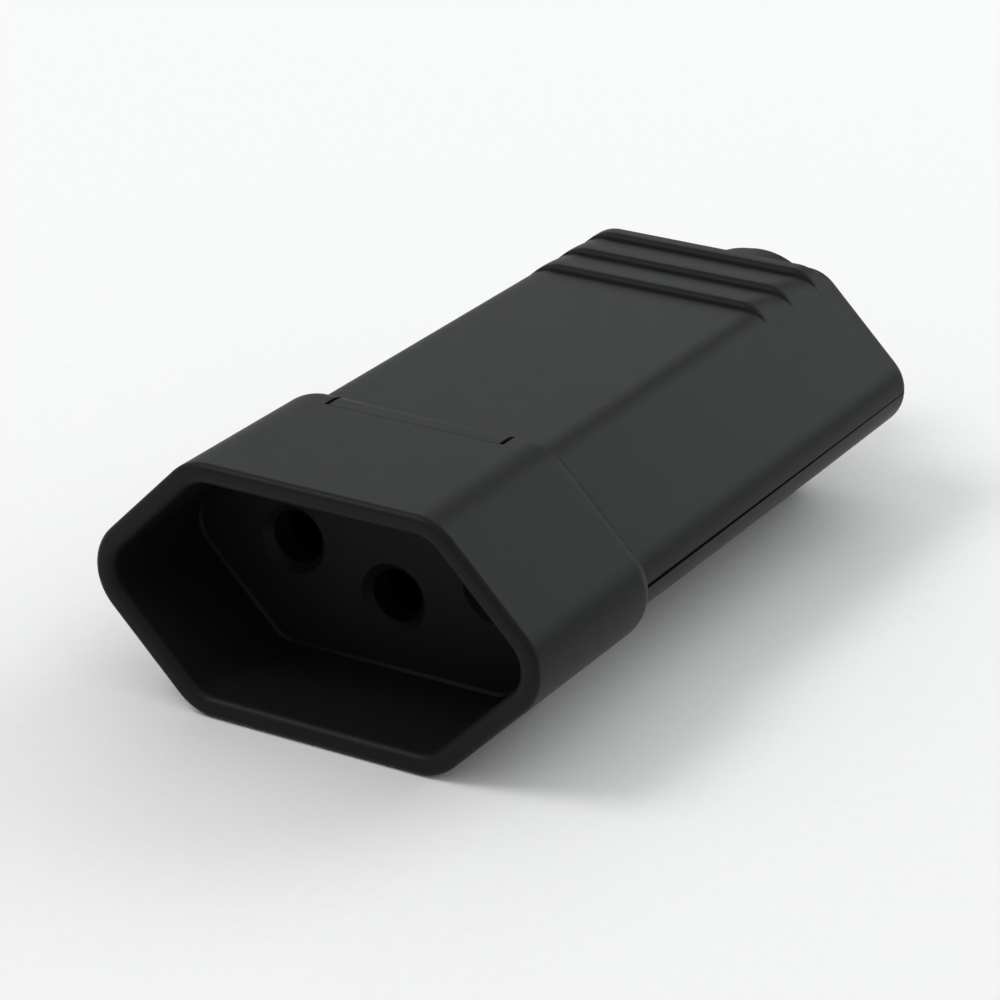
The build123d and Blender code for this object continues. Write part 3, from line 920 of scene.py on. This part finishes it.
cover_size = {"head_height": 1.9 * mm, "head_radius": 2.7 * mm, "shank_radius": 1.5 * mm}
small_size = {"head_height": 1.7 * mm, "head_radius": 2.4 * mm, "shank_radius": 1.4 * mm}
grow_screws("cover_screws", nodes_like("cover_screw"), upside_down=True, **cover_size)
grow_screws("cord_clamp_screws", nodes_like("cord_clamp_screw"), **small_size)
grow_screws("terminal_screws", nodes_like("terminal_screw"), **small_size)

# %% [markdown]
# ## Spring clips
#
# A clip of spring steel goes round each contact sleeve and presses it on the pin. It is a strip that
# is bent along an arc, so it is an arc for a path and a thin rectangle for a profile. The arc leaves
# the clip's gap open at the top, and the tree sets one clip on each marked sleeve.

# %% Clips
def make_clip_tree():
    """Bent strip around each marked point, open at the top."""
    sizes = ["Inner Radius", "Thickness", "Width", "Gap"]
    tree, given = new_geometry_tree("spring_clip", [(size, "Float", 0.0) for size in sizes])
    half = calculate(tree, "MULTIPLY", given["Thickness"], 0.5)
    radius = calculate(tree, "ADD", given["Inner Radius"], half)
    half_gap = calculate(tree, "MULTIPLY", given["Gap"], 0.5)
    gap_angle = calculate(tree, "ARCSINE", calculate(tree, "DIVIDE", half_gap, radius))
    start = calculate(tree, "ADD", gap_angle, math.pi / 2)
    sweep = calculate(tree, "MULTIPLY_ADD", gap_angle, -2.0, 2 * math.pi)
    arc = put(tree, "GeometryNodeCurveArc", {
        "Resolution": 64, "Radius": radius, "Start Angle": start, "Sweep Angle": sweep,
    }).outputs[0]
    arc = put(tree, "GeometryNodeSetCurveNormal", {"Curve": arc}, mode="Z_UP").outputs[0]
    strip = put(tree, "GeometryNodeCurvePrimitiveQuadrilateral", {
        "Width": given["Thickness"], "Height": given["Width"],
    }).outputs[0]
    strip = put(tree, "GeometryNodeFilletCurve", {
        "Curve": strip, "Count": 3, "Radius": calculate(tree, "MULTIPLY", given["Thickness"], 0.3),
    }, mode="POLY").outputs[0]
    inputs = {"Curve": arc, "Profile Curve": strip, "Fill Caps": True}
    bent = put(tree, "GeometryNodeCurveToMesh", inputs).outputs[0]
    return finish_tree(tree, given, move(tree, bent, turn=(math.radians(90), 0.0, 0.0)))


clip_nodes = nodes_like("contact_spring")
clip_boxes = [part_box(node) for node in clip_nodes]
clip_thickness = 0.5 * mm
clip_radius = (clip_boxes[0][1].x - clip_boxes[0][0].x) / 2 - clip_thickness
clips = grow(
    "contact_springs",
    make_clip_tree(),
    "spring_steel",
    {
        "Inner Radius": clip_radius,
        "Thickness": clip_thickness,
        "Width": clip_boxes[0][1].y - clip_boxes[0][0].y,
        "Gap": 1.4 * mm,
    },
    [((a.x + b.x) / 2, (a.y + b.y) / 2, a.z + clip_radius + clip_thickness) for a, b in clip_boxes],
)
recalculate_normals(clips)
shade(clips)
hand_over(clips, "spring_steel", *clip_nodes)

# %% [markdown]
# ## Floor and light
#
# The socket lies on a pale floor under soft light from above. Black plastic shows little of its own
# colour: most of what the eye sees is the room mirrored in it, and a surface mirrors more the flatter
# it is looked at. The room is bright overhead and fades towards the horizon, so the edges that turn
# away don't flare up. That is why the top, seen at a low angle, is the lightest part and the rim, seen
# almost head-on, is nearly black. Two softboxes behind, on the left and on the right, draw a soft
# sheen over the top and the slanted side, and a small one in front lights the inner lip of the mouth.

# %% Floor
def make_floor(radius, drop):
    """Round floor of pale paper, a hair below the part."""
    shape = bmesh.new()
    below = Matrix.Translation((0, 0, -drop))
    bmesh.ops.create_circle(shape, cap_ends=True, segments=96, radius=radius, matrix=below)
    mesh = bpy.data.meshes.new("floor")
    shape.to_mesh(mesh)
    shape.free()
    floor = new_object("floor", mesh)
    material, tree, shader = new_material("floor_paper")
    place = put(tree, "ShaderNodeTexCoord").outputs["Object"]
    fibre = noise(tree, place, 900.0, 3.0)
    paper = blend(tree, fibre, (0.9, 0.9, 0.9, 1), (0.94, 0.94, 0.94, 1))
    feed(tree, shader, {"Base Color": paper, "Roughness": 0.9})
    mesh.materials.append(material)


floor_drop = 0.02 * mm
make_floor(3.0, floor_drop)
print("floor below the part by, in mm:", floor_drop / mm)

# %% World and lamps
def make_room(horizon_level, overhead_level, overhead_height):
    """Soft surroundings that brighten evenly from the horizon up to a height, given as a sine."""
    world = bpy.data.worlds.new("soft_room")
    bpy.context.scene.world = world
    world.use_nodes = True
    tree = world.node_tree
    toward = put(tree, "ShaderNodeTexCoord").outputs["Generated"]
    level = put(tree, "ShaderNodeMapRange", {
        "Value": parts_of(tree, toward)[2],
        "From Min": 0.0,
        "From Max": overhead_height,
        "To Min": horizon_level,
        "To Max": overhead_level,
    }, interpolation_type="SMOOTHSTEP").outputs[0]
    feed(tree, tree.nodes["Background"], {"Strength": level, "Color": (1, 1, 1, 1)})


def make_softbox(name, toward, size, brightness, tint=(1.0, 1.0, 1.0), distance=0.9):
    """Square soft lamp in a direction from the middle of the part, facing it."""
    middle = (cad_box[0] + cad_box[1]) / 2
    away = Vector(toward).normalized()
    light = bpy.data.lights.new(name, "AREA")
    light.shape = "SQUARE"
    light.size = size
    light.energy = brightness * math.pi * size**2
    light.color = tint
    lamp = new_object(name, light)
    lamp.location = middle + away * distance
    lamp.rotation_euler = away.to_track_quat("Z", "Y").to_euler()
    print(name, "size in m:", size, "power in W:", round(light.energy, 2))


make_room(horizon_level=0.2, overhead_level=0.74, overhead_height=0.8)
cool = (0.95, 0.99, 1.0)
make_softbox("right_softbox", (0.400, 0.788, 0.468), size=0.6, brightness=2.35, tint=cool)
make_softbox("left_softbox", (-0.52, 0.788, 0.45), size=0.5, brightness=0.8, tint=cool)
make_softbox("front_softbox", (-0.47, -0.4, 0.79), size=0.35, brightness=6.0)

# %% [markdown]
# ## Camera
#
# The camera looks at the mouth from the right and from above with a long lens, so that the far end of
# the part is only a little smaller than the near end. Its place is given by two angles and a distance.

# %% Camera
camera_azimuth = math.radians(30.715)
camera_elevation = math.radians(23.582)
camera_distance = 0.325
camera_aim = Vector((0.11, -9.59, 10.41)) * mm
image_width = 1000
focal_pixels = 3908.4
toward_camera = Vector((
    math.sin(camera_azimuth) * math.cos(camera_elevation),
    -math.cos(camera_azimuth) * math.cos(camera_elevation),
    math.sin(camera_elevation),
))
camera_data = bpy.data.cameras.new("camera")
camera_data.lens = focal_pixels / image_width * camera_data.sensor_width
camera_data.clip_start = 0.01
camera = new_object("camera", camera_data)
camera.location = camera_aim + toward_camera * camera_distance
camera.rotation_euler = toward_camera.to_track_quat("Z", "Y").to_euler()
bpy.context.scene.camera = camera
bpy.context.scene.view_settings.view_transform = "Standard"
print("lens in mm:", round(camera_data.lens, 1))
